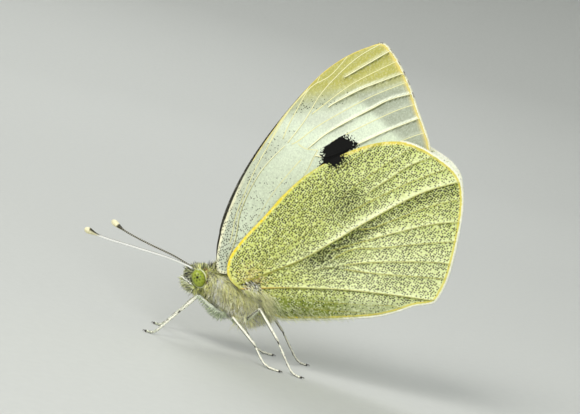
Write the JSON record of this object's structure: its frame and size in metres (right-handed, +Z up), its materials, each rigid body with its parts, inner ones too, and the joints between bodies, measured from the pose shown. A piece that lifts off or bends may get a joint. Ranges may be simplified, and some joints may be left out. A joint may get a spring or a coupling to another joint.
{
  "type": "large white butterfly model",
  "caption": "Life-size still model of a white butterfly standing on six legs with its wings closed over its back.",
  "frame": {"origin": "on the floor under the feet, below the middle of the model's bounding box", "axes": "+Z up, the head looks along -Y, +X is the animal's left side"},
  "size_m": [0.0146, 0.0398, 0.038],
  "materials": {
    "body_hair": "matte",
    "eye": "gloss",
    "feeler": "matte",
    "tongue": "satin",
    "forewing_scales": "matte",
    "hindwing_scales": "matte",
    "leg_scales": "matte"
  },
  "bodies": {
    "root": {"head": "body_hair", "thorax": "body_hair", "abdomen": "body_hair", "eye_left": "eye", "eye_right": "eye", "palp_left": "body_hair", "palp_right": "body_hair", "proboscis": "tongue", "antenna_left": "feeler", "antenna_right": "feeler", "forewing_left": "forewing_scales", "forewing_right": "forewing_scales", "hindwing_left": "hindwing_scales", "hindwing_right": "hindwing_scales", "fore_leg_left_femur": "leg_scales", "fore_leg_left_tibia": "leg_scales", "fore_leg_left_tarsus": "leg_scales", "fore_leg_right_femur": "leg_scales", "fore_leg_right_tibia": "leg_scales", "fore_leg_right_tarsus": "leg_scales", "mid_leg_left_femur": "leg_scales", "mid_leg_left_tibia": "leg_scales", "mid_leg_left_tarsus": "leg_scales", "mid_leg_right_femur": "leg_scales", "mid_leg_right_tibia": "leg_scales", "mid_leg_right_tarsus": "leg_scales", "hind_leg_left_femur": "leg_scales", "hind_leg_left_tibia": "leg_scales", "hind_leg_left_tarsus": "leg_scales", "hind_leg_right_femur": "leg_scales", "hind_leg_right_tibia": "leg_scales", "hind_leg_right_tarsus": "leg_scales"}
  },
  "joints": []
}
